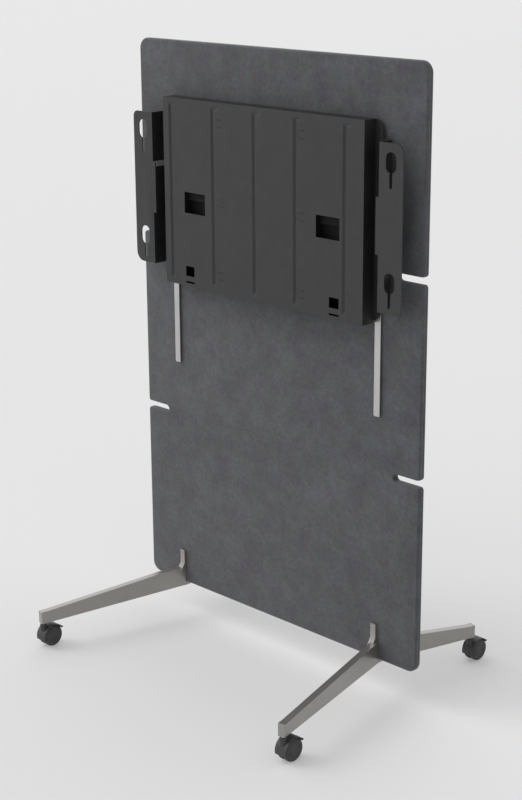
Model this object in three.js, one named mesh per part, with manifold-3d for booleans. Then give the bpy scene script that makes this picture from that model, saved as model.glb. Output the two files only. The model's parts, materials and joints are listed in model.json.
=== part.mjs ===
// Mobile partition wall with a height-adjustable display mount, on four castors.
// Units are millimetres, +Z is up and the mount side faces -Y.
// The origin is on the floor, below the middle of the footprint.

import * as THREE from 'three';
import { mergeVertices } from 'three/addons/utils/BufferGeometryUtils.js';
import Module from 'manifold-3d';

const wasm = await Module();
wasm.setup();

// ---------------------------------------------------------------- driving dimensions

const GAP = 0.3;                       // seam left between neighbouring solids

// Panel: two moulded felt shells closed around a thin core board.
const PANEL_WIDTH = 1048;
const PANEL_HEIGHT = 1601;
const PANEL_THICKNESS = 22;
const PANEL_BOTTOM = 94;               // height of the panel's lower edge above the floor
const PANEL_FRONT_Y = 42;              // front face of the panel, from the footprint's middle
const PANEL_CORNER_RADIUS = 30;
const PANEL_EDGE_ROUND = 7;
const FELT_THICKNESS = 8;
const CORE_INSET = 10;                 // felt rim left around the core board

// Notches in the side edges, one third and two thirds of the way up, with felt walls.
const NOTCH_HEIGHTS = [532, 1064];
const NOTCH_DEPTH = 90;
const NOTCH_HALF_HEIGHT = 9.75;
const NOTCH_FLARE_RADIUS = 9;
const NOTCH_RIM = 10;                  // felt left between the notch and the core board

// Rails that carry the display mount.
const RAIL_X = 381;
const RAIL_WIDTH = 20;
const RAIL_LOW = 688;                  // heights on the panel are from its lower edge
const RAIL_HIGH = 1405;
const RAIL_FACE_THICKNESS = 4.6;
const RAIL_STANDOFF = 2.9;             // clear space between the felt and the rail's face bar
const RAIL_END_RADIUS = 3;
const RAIL_WEB_WIDTH = 9;
const RAIL_WEB_INSET = 8;
const RAIL_SCREW = { heights: [780, 1310], radius: 2, headRadius: 3.8, head: 2.6, depth: 6 };

// Feet: a long arm in front and a short arm behind, splayed outwards.
const FOOT_X = 383.5;
const ARM_THICKNESS = 20;
const FRONT_TIP = { x: 484, reach: 466 };
const REAR_TIP = { x: 455, reach: 309.3 };
const ARM_ROOT_LOW = -9.6;
const ARM_ROOT_HIGH = 52.5;
const ARM_TIP_LOW = -19.3;
const ARM_TIP_HIGH = 16.8;
const ARM_TIP_LEVEL = 19;              // level stretch on top of the tip
const FIN = { x: 379.5, width: 18, thickness: 7.7, low: 42, top: 104 };
const FIN_FOOT = { low: 38, high: 65, reach: 15 };   // slope between the fin and the arm
const FOOT_SCREW_HEIGHTS = [75, 94];
const FOOT_SCREW_RADIUS = 3;
const FOOT_SCREW_HEAD = { radius: 5, height: 4 };

// Castors: twin wheels under a hood, trailing behind a vertical stem.
const STEM_FROM_TIP = 8;
const STEM_RADIUS = 3.8;
const STEM_INSERT = 24;                // length of the stem inside the arm
const STEM_END = 16;                   // lower end of the stem above the axle
const STEM_COLLAR = { radius: 6.5, height: 2.3 };
const CASTOR_TRAIL = 24;
const WHEEL_RADIUS = 31;
const WHEEL_WIDTH = 14;
const WHEEL_INNER_X = 5.4;
const AXLE_RADIUS = 3;
const AXLE_HOLE_DEPTH = 10.5;
const HOOD_INNER_RADIUS = 32.2;
const HOOD_OUTER_RADIUS = 35;
const HOOD_HALF_WIDTH = WHEEL_INNER_X + WHEEL_WIDTH;
const HOOD_REAR_ANGLE = THREE.MathUtils.degToRad(46);
const HOOD_FRONT_ANGLE = THREE.MathUtils.degToRad(196);
const HOOD_WEB = { halfWidth: 4.9, radius: 15, waist: THREE.MathUtils.degToRad(34) };
const HOOD_NECK_RADIUS = 9;
const BRAKE_PIVOT_ANGLE = THREE.MathUtils.degToRad(41.5);
const BRAKE_PIVOT_RADIUS = 33.8;
const BRAKE_LIFT = THREE.MathUtils.degToRad(6);
const BRAKE_BARREL_RADIUS = 2.2;
const BRAKE_LENGTH = 13;
const BRAKE_THICKNESS = 4.6;
const BRAKE_HALF_WIDTH = 13;
const BRAKE_LIP = { rise: 1.8, length: 3.4 };

// Display mount: side brackets on the rails, back plate and pressed cover between them.
const SHEET = 3;
const BRACKET_STRAP_Y = -12.7;         // front face of the strap that lies over the rail
const BRACKET_STRAP = { inner: 330, outer: 394, low: 942, high: 1453 };
const BRACKET_STRAP_RADII = { top: 24, bottom: 30 };
const BRACKET_EAR = { flange: 421, outer: 495, low: 980, high: 1406 };
const BRACKET_EAR_RADII = { left: { top: 16, bottom: 28 }, right: { top: 24, bottom: 11 } };
const BRACKET_STEP = { flange: 411.5, low: 1126, high: 1270, slit: 1.5, relief: 14 };
const BRACKET_FACE_Y = -53;
const KEYHOLE_X = 456;
const KEYHOLE_HEIGHTS = [1058, 1358];
const KEYHOLE = { width: 34, height: 52, slotWidth: 9.5, slotLength: 38 };
const SHOE = { low: 1010, high: 1390, halfWidth: 12.5, lip: 1.5 };
const CLAMP_HEIGHTS = [1040, 1360];
const CLAMP_SCREW = { radius: 3, headRadius: 5.2, head: 3.6 };
const COVER = { halfWidth: 369.5, low: 936, high: 1453.5, front: -53.4, sheet: 1.5 };
const BACK_PLATE = { margin: 4, sheet: 2 };
const GROOVE_XS = [-343, -176, -19, 131, 303];
const GROOVE = { width: 10, depth: 0.9, low: 955, high: 1438, hook: 28, hookWidth: 6 };
const GRIP = { x: 248, z: 1171, width: 82, height: 58, lip: 25, depth: 28, rim: 4 };
const GRIP_LIP = { setBack: 14, fold: 8 };
const OUTLET = { x: 271, z: 978.5, width: 34, height: 28, slitZ: 947.2, slit: 5.4 };
const STANDOFF_XS = { left: -149, right: 153 };
const STANDOFF_HEIGHTS = { lower: 983, middle: 1186, upper: 1398 };
const STANDOFF = { width: 30, height: 40, sheet: 2 };
const TAB = { pitch: 20, width: 24, height: 2, proud: 0.5 };
const CLEARANCE_HOLE = 0.3;            // extra radius of the holes that screws pass through

// ---------------------------------------------------------------- materials

const materials = {
  felt: new THREE.MeshStandardMaterial({ color: 0x5a5c61, roughness: 0.98, metalness: 0 }),
  core: new THREE.MeshStandardMaterial({ color: 0xa98f6d, roughness: 0.8, metalness: 0 }),
  aluminium: new THREE.MeshStandardMaterial({ color: 0xc9cac6, roughness: 0.32, metalness: 1 }),
  satinSteel: new THREE.MeshStandardMaterial({ color: 0x9a9892, roughness: 0.35, metalness: 1 }),
  blackSteel: new THREE.MeshStandardMaterial({ color: 0x2b2b2c, roughness: 0.55, metalness: 0.2 }),
  zinc: new THREE.MeshStandardMaterial({ color: 0xb6b8b8, roughness: 0.4, metalness: 1 }),
  blackPlastic: new THREE.MeshStandardMaterial({ color: 0x1f1f20, roughness: 0.5, metalness: 0 }),
  tread: new THREE.MeshStandardMaterial({ color: 0x2a2a2b, roughness: 0.75, metalness: 0 }),
};

// ---------------------------------------------------------------- solid modelling helpers

// Closed three.js geometry to a manifold-3d solid, and back.
function toSolid(geometry) {
  const bare = geometry.clone();
  bare.deleteAttribute('normal');
  bare.deleteAttribute('uv');
  const merged = mergeVertices(bare, 1e-4);
  return new wasm.Manifold(new wasm.Mesh({
    numProp: 3,
    vertProperties: new Float32Array(merged.attributes.position.array),
    triVerts: new Uint32Array(merged.index.array),
  }));
}

function toGeometry(solid) {
  const mesh = solid.getMesh();
  const geometry = new THREE.BufferGeometry();
  geometry.setAttribute('position', new THREE.BufferAttribute(mesh.vertProperties, 3));
  geometry.setIndex(new THREE.BufferAttribute(mesh.triVerts, 1));
  geometry.computeVertexNormals();
  return geometry;
}

// The same solid on the other side of the wall's middle plane, its faces still pointing out.
function mirrored(solid) {
  const mesh = solid.getMesh();
  const vertProperties = mesh.vertProperties.map((value, i) => (i % 3 === 0 ? -value : value));
  const triVerts = new Uint32Array(mesh.triVerts.length);
  for (let i = 0; i < triVerts.length; i += 3) {
    triVerts.set([mesh.triVerts[i], mesh.triVerts[i + 2], mesh.triVerts[i + 1]], i);
  }
  return new wasm.Manifold(new wasm.Mesh({ numProp: 3, vertProperties, triVerts }));
}

function union(solids) {
  return solids.reduce((sum, solid) => sum.add(solid));
}

function cut(solid, tools) {
  return tools.reduce((rest, tool) => rest.subtract(tool), solid);
}

function box(x0, x1, y0, y1, z0, z1) {
  const geometry = new THREE.BoxGeometry(x1 - x0, y1 - y0, z1 - z0);
  return toSolid(geometry.translate((x0 + x1) / 2, (y0 + y1) / 2, (z0 + z1) / 2));
}

// Round bars along X, Y and Z, between two places on that axis.
function barX(radius, y, z, x0, x1, segments = 12) {
  const lying = new THREE.CylinderGeometry(radius, radius, x1 - x0, segments);
  return toSolid(lying.rotateZ(Math.PI / 2).translate((x0 + x1) / 2, y, z));
}

function barY(radius, x, z, y0, y1, segments = 10) {
  const lying = new THREE.CylinderGeometry(radius, radius, y1 - y0, segments);
  return toSolid(lying.translate(x, (y0 + y1) / 2, z));
}

function barZ(radius, x, y, z0, z1, segments = 12) {
  const upright = new THREE.CylinderGeometry(radius, radius, z1 - z0, segments);
  return toSolid(upright.rotateX(Math.PI / 2).translate(x, y, (z0 + z1) / 2));
}

// Outline drawn in X and Z, made solid between two depths.
function slabXZ(shape, y0, y1, curveSegments = 3, bevel = {}) {
  const settings = { depth: y1 - y0, bevelEnabled: false, curveSegments, ...bevel };
  const slab = new THREE.ExtrudeGeometry(shape, settings);
  return slab.rotateX(Math.PI / 2).translate(0, y1, 0);
}

// Outline drawn in Y and Z, made solid between two places along X.
function slabYZ(shape, x0, x1, curveSegments = 8) {
  const settings = { depth: x1 - x0, bevelEnabled: false, curveSegments };
  const turn = new THREE.Matrix4().makeBasis(
    new THREE.Vector3(0, 1, 0),
    new THREE.Vector3(0, 0, 1),
    new THREE.Vector3(1, 0, 0),
  );
  return new THREE.ExtrudeGeometry(shape, settings).applyMatrix4(turn).translate(x0, 0, 0);
}

// Rectangle whose corner radii run counter-clockwise from the lower left corner.
function roundedRectangle(x0, x1, z0, z1, radii) {
  const [a, b, c, d] = Array.isArray(radii) ? radii : [radii, radii, radii, radii];
  const shape = new THREE.Shape();
  const corner = (x, z, radius, start) => {
    if (radius > 0) shape.absarc(x, z, radius, start, start + Math.PI / 2);
    else shape.lineTo(x, z);
  };
  shape.moveTo(x0 + a, z0);
  corner(x1 - b, z0 + b, b, -Math.PI / 2);
  corner(x1 - c, z1 - c, c, 0);
  corner(x0 + d, z1 - d, d, Math.PI / 2);
  corner(x0 + a, z0 + a, a, Math.PI);
  return shape;
}

function centredRectangle(x, z, width, height, radius) {
  return roundedRectangle(
    x - width / 2, x + width / 2, z - height / 2, z + height / 2, radius,
  );
}

function polygon(points) {
  return new THREE.Shape(points.map(([u, v]) => new THREE.Vector2(u, v)));
}

const wall = new THREE.Group();
const REACH = 2000;                    // larger than the wall, for cutting planes

function place(name, solid, material, position) {
  const mesh = new THREE.Mesh(toGeometry(solid), materials[material].clone());
  mesh.name = name;
  mesh.position.set(...position);
  wall.add(mesh);
}

// Pieces on the panel are drawn from the middle of the panel's lower front edge.
const ON_PANEL = [0, PANEL_FRONT_Y, PANEL_BOTTOM];
const SIDES = { left: -1, right: 1 };

// Pieces are drawn on the right side and mirrored to the left.
function placePair(nameOf, solid, material) {
  place(nameOf('left'), mirrored(solid), material, ON_PANEL);
  place(nameOf('right'), solid, material, ON_PANEL);
}

function bothSides(solids) {
  return [...solids, ...solids.map(mirrored)];
}

// ---------------------------------------------------------------- panel

const NOTCH_END_X = PANEL_WIDTH / 2 - NOTCH_DEPTH + NOTCH_HALF_HEIGHT;

// Notch in the right edge: a round inner end and a flared mouth.
function notchCutter(height) {
  const half = NOTCH_HALF_HEIGHT;
  const flare = NOTCH_FLARE_RADIUS;
  const flareX = PANEL_WIDTH / 2 - flare;
  const beyond = PANEL_WIDTH / 2 + 5;
  const shape = new THREE.Shape();
  shape.moveTo(beyond, half + flare);
  shape.absarc(flareX, half + flare, flare, 0, -Math.PI / 2, true);
  shape.absarc(NOTCH_END_X, 0, half, Math.PI / 2, Math.PI * 1.5);
  shape.absarc(flareX, -half - flare, flare, Math.PI / 2, 0, true);
  shape.lineTo(beyond, -half - flare);
  return toSolid(slabXZ(shape, -10, PANEL_THICKNESS + 10, 4).translate(0, 0, height));
}

// Room kept free of core board around a notch, so that the notch has felt walls.
function notchRim(height, grow) {
  const half = NOTCH_HALF_HEIGHT + grow;
  const shape = roundedRectangle(
    NOTCH_END_X - half, PANEL_WIDTH / 2 + 5, -half, half, [half, 0, 0, half],
  );
  return toSolid(slabXZ(shape, -10, PANEL_THICKNESS + 10).translate(0, 0, height));
}

function footScrewHoles() {
  const radius = FOOT_SCREW_RADIUS + CLEARANCE_HOLE;
  return bothSides(FOOT_SCREW_HEIGHTS.map(
    (z) => barY(radius, FIN.x, z, -1, PANEL_THICKNESS + 1),
  ));
}

function panelBody() {
  const outline = roundedRectangle(
    -PANEL_WIDTH / 2, PANEL_WIDTH / 2, 0, PANEL_HEIGHT, PANEL_CORNER_RADIUS,
  );
  const round = PANEL_EDGE_ROUND;
  return toSolid(slabXZ(outline, round, PANEL_THICKNESS - round, 3, {
    bevelEnabled: true, bevelSize: round, bevelThickness: round, bevelOffset: -round,
    bevelSegments: 2,
  }));
}

// Core board, or the room for it in the felt when grown by a seam.
function coreBody(grow) {
  const inset = CORE_INSET - grow;
  const outline = roundedRectangle(
    -PANEL_WIDTH / 2 + inset, PANEL_WIDTH / 2 - inset,
    inset, PANEL_HEIGHT - inset, PANEL_CORNER_RADIUS - inset,
  );
  const y0 = FELT_THICKNESS + GAP - grow;
  const y1 = PANEL_THICKNESS - FELT_THICKNESS - GAP + grow;
  const rims = NOTCH_HEIGHTS.map((height) => notchRim(height, NOTCH_RIM - grow));
  return cut(toSolid(slabXZ(outline, y0, y1)), bothSides(rims));
}

function railSlot() {
  const halfWidth = RAIL_WEB_WIDTH / 2 + GAP;
  const inset = RAIL_WEB_INSET - GAP;
  const outline = roundedRectangle(
    RAIL_X - halfWidth, RAIL_X + halfWidth, RAIL_LOW + inset, RAIL_HIGH - inset, 2,
  );
  return toSolid(slabXZ(outline, -1, FELT_THICKNESS + 1, 1));
}

// Rail screws are countersunk in the back of the core board.
function railScrewHoles() {
  const back = PANEL_THICKNESS - FELT_THICKNESS - GAP;
  const { heights, radius, headRadius, head } = RAIL_SCREW;
  return bothSides(heights.flatMap((z) => [
    barY(radius + CLEARANCE_HOLE, RAIL_X, z, FELT_THICKNESS, back + 1, 8),
    barY(headRadius + CLEARANCE_HOLE, RAIL_X, z, back - head - GAP, back + 1, 8),
  ]));
}

function buildPanel() {
  const middle = PANEL_THICKNESS / 2;
  const seam = GAP / 2;
  const body = panelBody();
  const throughCuts = [...bothSides(NOTCH_HEIGHTS.map(notchCutter)), ...footScrewHoles()];
  const frontHalf = box(-REACH, REACH, -REACH, middle - seam, -REACH, REACH);
  const rearHalf = box(-REACH, REACH, middle + seam, REACH, -REACH, REACH);
  const pocket = coreBody(GAP);
  const front = cut(
    body.intersect(frontHalf), [pocket, ...throughCuts, ...bothSides([railSlot()])],
  );
  const rear = cut(body.intersect(rearHalf), [pocket, ...throughCuts]);
  place('front_felt_shell', front, 'felt', ON_PANEL);
  place('rear_felt_shell', rear, 'felt', ON_PANEL);
  const core = cut(coreBody(0), [...footScrewHoles(), ...railScrewHoles()]);
  place('core_board', core, 'core', ON_PANEL);
}

// ---------------------------------------------------------------- rails

// T-shaped rail: its face bar stands off the felt on a web that rests on the core board.
function rail() {
  const half = RAIL_WIDTH / 2;
  const webHalf = RAIL_WEB_WIDTH / 2;
  const back = -RAIL_STANDOFF;
  const face = roundedRectangle(
    RAIL_X - half, RAIL_X + half, RAIL_LOW, RAIL_HIGH, RAIL_END_RADIUS,
  );
  const web = roundedRectangle(
    RAIL_X - webHalf, RAIL_X + webHalf,
    RAIL_LOW + RAIL_WEB_INSET, RAIL_HIGH - RAIL_WEB_INSET, 2,
  );
  const bores = RAIL_SCREW.heights.map((z) => barY(
    RAIL_SCREW.radius + CLEARANCE_HOLE, RAIL_X, z,
    FELT_THICKNESS - RAIL_SCREW.depth, FELT_THICKNESS + 1, 8,
  ));
  return cut(union([
    toSolid(slabXZ(face, back - RAIL_FACE_THICKNESS, back, 2)),
    toSolid(slabXZ(web, back - 1, FELT_THICKNESS, 1)),
  ]), bores);
}

function railScrew(z) {
  const { radius, headRadius, head, depth } = RAIL_SCREW;
  const back = PANEL_THICKNESS - FELT_THICKNESS - GAP;
  return union([
    barY(headRadius, RAIL_X, z, back - head, back, 8),
    barY(radius, RAIL_X, z, FELT_THICKNESS - depth + GAP, back - head + 1, 8),
  ]);
}

function buildRails() {
  placePair((side) => `mount_rail_${side}`, rail(), 'aluminium');
  RAIL_SCREW.heights.forEach((z, index) => {
    const level = ['lower', 'upper'][index];
    placePair((side) => `rail_screw_${level}_${side}`, railScrew(z), 'zinc');
  });
}

// ---------------------------------------------------------------- feet

// Line along which an arm runs in plan, from its root on the panel to its tip.
// Positions are from the panel's lower front edge; end is -1 in front and 1 behind.
function armLine(end) {
  const target = end < 0 ? FRONT_TIP : REAR_TIP;
  const rootY = end < 0 ? 0 : PANEL_THICKNESS;
  const root = new THREE.Vector2(FOOT_X, rootY);
  const tip = new THREE.Vector2(target.x, rootY + end * target.reach);
  const along = tip.clone().sub(root);
  return { root, tip, length: along.length(), angle: Math.atan2(along.y, along.x) };
}

function stemPoint(end) {
  const { root, tip, length } = armLine(end);
  return root.clone().lerp(tip, 1 - STEM_FROM_TIP / length);
}

// Side outline of an arm: length along it, height above the panel's lower edge.
// It starts inside the panel, so that its root can be cut flush with the felt.
function armOutline(length) {
  const start = -PANEL_THICKNESS;
  const lowSlope = (ARM_TIP_LOW - ARM_ROOT_LOW) / length;
  const highSlope = (ARM_TIP_HIGH - ARM_ROOT_HIGH) / (length - ARM_TIP_LEVEL);
  return polygon([
    [start, ARM_ROOT_LOW + lowSlope * start],
    [length, ARM_TIP_LOW],
    [length, ARM_TIP_HIGH],
    [length - ARM_TIP_LEVEL, ARM_TIP_HIGH],
    [start, ARM_ROOT_HIGH + highSlope * start],
  ]);
}

// Arm with the fin that rises up the panel's face on a sloping foot, and the socket for
// the castor's stem.
function footArm(end) {
  const { root, length, angle } = armLine(end);
  const half = ARM_THICKNESS / 2;
  const bar = slabXZ(armOutline(length), -half, half).rotateZ(angle);
  bar.translate(root.x, root.y, 0);
  const flush = end < 0 ? -GAP : PANEL_THICKNESS + GAP;
  const outside = end < 0
    ? box(-REACH, REACH, -REACH, flush, -REACH, REACH)
    : box(-REACH, REACH, flush, REACH, -REACH, REACH);
  const finFace = flush + end * FIN.thickness;
  const finLeft = FIN.x - FIN.width / 2;
  const finRight = FIN.x + FIN.width / 2;
  const fin = roundedRectangle(finLeft, finRight, FIN.low, FIN.top, [0, 0, 2, 2]);
  const stem = stemPoint(end);
  const socket = barZ(
    STEM_RADIUS + CLEARANCE_HOLE, stem.x, stem.y,
    ARM_TIP_LOW - 5, ARM_TIP_LOW + STEM_INSERT + 1,
  );
  const gusset = polygon([
    [finFace - end, FIN_FOOT.low], [finFace + end * FIN_FOOT.reach, FIN_FOOT.low],
    [finFace, FIN_FOOT.high], [finFace - end, FIN_FOOT.high],
  ]);
  const arm = union([
    toSolid(bar).intersect(outside),
    toSolid(slabXZ(fin, Math.min(flush, finFace), Math.max(flush, finFace), 2)),
    toSolid(slabYZ(gusset, finLeft, finRight)),
  ]);
  return cut(arm, [socket]);
}

// Screws pass through the rear fin and the panel into blind holes in the front fin.
const FOOT_SCREW_END_Y = -GAP - FIN.thickness + 2;

function footScrewBores(y0, y1) {
  const radius = FOOT_SCREW_RADIUS + CLEARANCE_HOLE;
  return FOOT_SCREW_HEIGHTS.map((z) => barY(radius, FIN.x, z, y0, y1));
}

function frontArm() {
  return cut(footArm(-1), footScrewBores(FOOT_SCREW_END_Y - GAP, 1));
}

// The rear arm has a tongue that closes the space under the panel's lower edge.
function rearArm() {
  const half = ARM_THICKNESS / 2;
  const tongue = box(
    FOOT_X - half, FOOT_X + half, 0, PANEL_THICKNESS + 2, ARM_ROOT_LOW, -GAP,
  );
  const bores = footScrewBores(PANEL_THICKNESS, PANEL_THICKNESS + 2 * FIN.thickness);
  return cut(union([footArm(1), tongue]), bores);
}

function footScrew(z) {
  const { radius, height } = FOOT_SCREW_HEAD;
  const seat = PANEL_THICKNESS + 2 * GAP + FIN.thickness;
  const head = barY(radius, FIN.x, z, seat, seat + height, 16);
  const recess = barY(radius / 2, FIN.x, z, seat + height / 2, seat + height + 1, 6);
  const shank = barY(FOOT_SCREW_RADIUS, FIN.x, z, FOOT_SCREW_END_Y, seat + 1);
  return cut(union([head, shank]), [recess]);
}

function buildFeet() {
  placePair((side) => `foot_${side}_front_arm`, frontArm(), 'satinSteel');
  placePair((side) => `foot_${side}_rear_arm`, rearArm(), 'satinSteel');
  FOOT_SCREW_HEIGHTS.forEach((z, index) => {
    const level = ['lower', 'upper'][index];
    placePair((side) => `foot_${side}_screw_${level}`, footScrew(z), 'zinc');
  });
}

// ---------------------------------------------------------------- castors

// Castor pieces are drawn from the point on the floor under the stem, trailing to +Y.
const AXLE_Y = CASTOR_TRAIL;
const AXLE_Z = WHEEL_RADIUS;
const SEAT_Z = PANEL_BOTTOM + ARM_TIP_LOW;
const BRAKE_PIVOT_Y = AXLE_Y + BRAKE_PIVOT_RADIUS * Math.cos(BRAKE_PIVOT_ANGLE);
const BRAKE_PIVOT_Z = AXLE_Z + BRAKE_PIVOT_RADIUS * Math.sin(BRAKE_PIVOT_ANGLE);

// Pin with a collar that bears against the underside of the arm.
const COLLAR_Z = SEAT_Z - GAP - STEM_COLLAR.height;

function castorStem() {
  const pin = barZ(STEM_RADIUS, 0, 0, AXLE_Z + STEM_END, SEAT_Z + STEM_INSERT);
  const collar = barZ(STEM_COLLAR.radius, 0, 0, COLLAR_Z, SEAT_Z - GAP, 16);
  return union([pin, collar]);
}

function ring(innerRadius, outerRadius, from, to) {
  const shape = new THREE.Shape();
  shape.absarc(AXLE_Y, AXLE_Z, outerRadius, from, to);
  shape.absarc(AXLE_Y, AXLE_Z, innerRadius, to, from, true);
  return shape;
}

// Hood: a curved cover over both treads, joined to the web that holds stem and axle.
function castorHood() {
  const half = HOOD_HALF_WIDTH;
  const { halfWidth, radius, waist } = HOOD_WEB;
  const from = HOOD_REAR_ANGLE;
  const to = HOOD_FRONT_ANGLE;
  const web = new THREE.Shape();
  web.absarc(AXLE_Y, AXLE_Z, HOOD_OUTER_RADIUS - 1, from, to);
  web.absarc(AXLE_Y, AXLE_Z, radius, to + waist, from + Math.PI * 2 - waist);
  const disc = new THREE.Shape().absarc(AXLE_Y, AXLE_Z, HOOD_INNER_RADIUS, 0, Math.PI * 2);
  const neck = barZ(HOOD_NECK_RADIUS, 0, 0, AXLE_Z, COLLAR_Z - 2 * GAP, 16);
  const hood = union([
    toSolid(slabYZ(ring(HOOD_INNER_RADIUS, HOOD_OUTER_RADIUS, from, to), -half, half)),
    toSolid(slabYZ(web, -halfWidth, halfWidth)),
    cut(neck, [toSolid(slabYZ(disc, -half, half))]),
  ]);
  return cut(hood, [
    barZ(STEM_RADIUS + CLEARANCE_HOLE, 0, 0, AXLE_Z + STEM_END - GAP, SEAT_Z),
    barX(AXLE_RADIUS + CLEARANCE_HOLE, AXLE_Y, AXLE_Z, -half, half),
    barX(BRAKE_BARREL_RADIUS + GAP, BRAKE_PIVOT_Y, BRAKE_PIVOT_Z, -REACH, REACH, 12),
  ]);
}

// One wheel of the twin: its hub takes the axle in a blind hole and its face is domed.
// The profile is given as radius and distance from the wheel's inner face.
function castorWheel() {
  const hole = AXLE_RADIUS + CLEARANCE_HOLE;
  const edge = WHEEL_RADIUS;
  const face = WHEEL_WIDTH;
  const profile = [
    [0, AXLE_HOLE_DEPTH], [hole, AXLE_HOLE_DEPTH], [hole, 0], [edge - 1.2, 0],
    [edge, 1.2], [edge, face - 6], [edge - 0.8, face - 3.4], [edge - 3.2, face - 1.2],
    [edge - 7.5, face - 0.2], [edge - 12, face], [edge - 14, face - 0.8], [0, face - 0.8],
  ];
  const points = profile.map(([radius, width]) => new THREE.Vector2(radius, width));
  const turned = new THREE.LatheGeometry(points, 24).rotateZ(-Math.PI / 2);
  return toSolid(turned.translate(WHEEL_INNER_X, AXLE_Y, AXLE_Z));
}

function castorAxle() {
  const half = WHEEL_INNER_X + AXLE_HOLE_DEPTH - GAP;
  return barX(AXLE_RADIUS, AXLE_Y, AXLE_Z, -half, half);
}

// Brake pedal: a barrel held in the hood's rear edge and a flat plate with a raised lip.
function castorBrake() {
  const half = BRAKE_THICKNESS / 2;
  const tip = BRAKE_LENGTH;
  const { rise, length } = BRAKE_LIP;
  const outline = polygon([
    [0, -half], [tip - length, -half], [tip, half], [tip, half + rise],
    [tip - length / 2, half + rise], [tip - length, half], [0, half],
  ]);
  const plate = slabYZ(outline, -BRAKE_HALF_WIDTH, BRAKE_HALF_WIDTH);
  plate.rotateX(BRAKE_PIVOT_ANGLE - Math.PI / 2 + BRAKE_LIFT);
  plate.translate(0, BRAKE_PIVOT_Y, BRAKE_PIVOT_Z);
  const barrel = barX(
    BRAKE_BARREL_RADIUS, BRAKE_PIVOT_Y, BRAKE_PIVOT_Z, -HOOD_HALF_WIDTH, HOOD_HALF_WIDTH, 12,
  );
  return union([toSolid(plate), barrel]);
}

function buildCastor(name, position) {
  const wheel = castorWheel();
  place(`${name}_stem`, castorStem(), 'zinc', position);
  place(`${name}_hood`, castorHood(), 'blackPlastic', position);
  place(`${name}_axle`, castorAxle(), 'zinc', position);
  place(`${name}_wheel_left`, mirrored(wheel), 'tread', position);
  place(`${name}_wheel_right`, wheel, 'tread', position);
  place(`${name}_brake`, castorBrake(), 'blackPlastic', position);
}

function buildCastors() {
  for (const [endName, end] of [['front', -1], ['rear', 1]]) {
    const stem = stemPoint(end);
    for (const [sideName, side] of Object.entries(SIDES)) {
      buildCastor(`castor_${endName}_${sideName}`, [side * stem.x, stem.y + PANEL_FRONT_Y, 0]);
    }
  }
}

// ---------------------------------------------------------------- display mount

function keyholeCutter(z) {
  const { width, height, slotWidth, slotLength } = KEYHOLE;
  const low = z - height / 2 - slotLength;
  const head = centredRectangle(KEYHOLE_X, z, width, height, width / 2 - 1);
  const slot = roundedRectangle(
    KEYHOLE_X - slotWidth / 2, KEYHOLE_X + slotWidth / 2, low, z, slotWidth / 2 - 0.5,
  );
  const y0 = BRACKET_FACE_Y - 1;
  const y1 = BRACKET_FACE_Y + SHEET + 1;
  return union([toSolid(slabXZ(head, y0, y1)), toSolid(slabXZ(slot, y0, y1, 3))]);
}

function clampHoles(y0, y1) {
  const radius = CLAMP_SCREW.radius + CLEARANCE_HOLE;
  return CLAMP_HEIGHTS.map((z) => barY(radius, RAIL_X, z, y0, y1));
}

// Side bracket, bent from one sheet: a strap over the rail, a flange that comes forward
// and an ear with keyholes. The flange steps inwards along the middle of the ear.
function sideBracket(earRadii) {
  const strap = BRACKET_STRAP;
  const ear = BRACKET_EAR;
  const step = BRACKET_STEP;
  const strapBack = BRACKET_STRAP_Y + SHEET;
  const faceBack = BRACKET_FACE_Y + SHEET;
  const strapOutline = roundedRectangle(
    strap.inner, strap.outer, strap.low, strap.high,
    [0, BRACKET_STRAP_RADII.bottom, BRACKET_STRAP_RADII.top, 0],
  );
  const earOutline = roundedRectangle(
    ear.flange - SHEET, ear.outer, ear.low, ear.high, [0, earRadii.bottom, earRadii.top, 0],
  );
  const fold = (x, z0, z1) => union([
    box(x - SHEET, x, BRACKET_FACE_Y, strapBack, z0, z1),
    box(strap.inner, x, BRACKET_STRAP_Y, strapBack, z0, z1),
  ]);
  const blank = union([
    toSolid(slabXZ(strapOutline, BRACKET_STRAP_Y, strapBack)),
    toSolid(slabXZ(earOutline, BRACKET_FACE_Y, faceBack)),
    fold(ear.flange, ear.low, step.low - step.slit),
    fold(step.flange, step.low, step.high - step.relief),
    fold(ear.flange, step.high, ear.high),
    box(step.flange - SHEET, ear.flange, BRACKET_FACE_Y, faceBack, step.low, step.high),
  ]);
  const holes = clampHoles(BRACKET_STRAP_Y - 1, strapBack + 1);
  return cut(blank, [...KEYHOLE_HEIGHTS.map(keyholeCutter), ...holes]);
}

// Shoe that hooks behind the edges of the rail's face bar.
function guideShoe() {
  const { low, high, halfWidth, lip } = SHOE;
  const faceHalf = RAIL_WIDTH / 2 + GAP;
  const webHalf = RAIL_WEB_WIDTH / 2 + 1;
  const shoeFront = BRACKET_STRAP_Y + SHEET + GAP;
  const faceFront = -RAIL_STANDOFF - RAIL_FACE_THICKNESS - GAP;
  const faceBack = -RAIL_STANDOFF + GAP;
  const block = box(
    RAIL_X - halfWidth, RAIL_X + halfWidth, shoeFront, faceBack + lip, low, high,
  );
  return cut(block, [
    box(RAIL_X - faceHalf, RAIL_X + faceHalf, faceFront, faceBack, -REACH, REACH),
    box(RAIL_X - webHalf, RAIL_X + webHalf, faceFront, REACH, -REACH, REACH),
    ...clampHoles(shoeFront - 1, faceFront + 1),
  ]);
}

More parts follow.
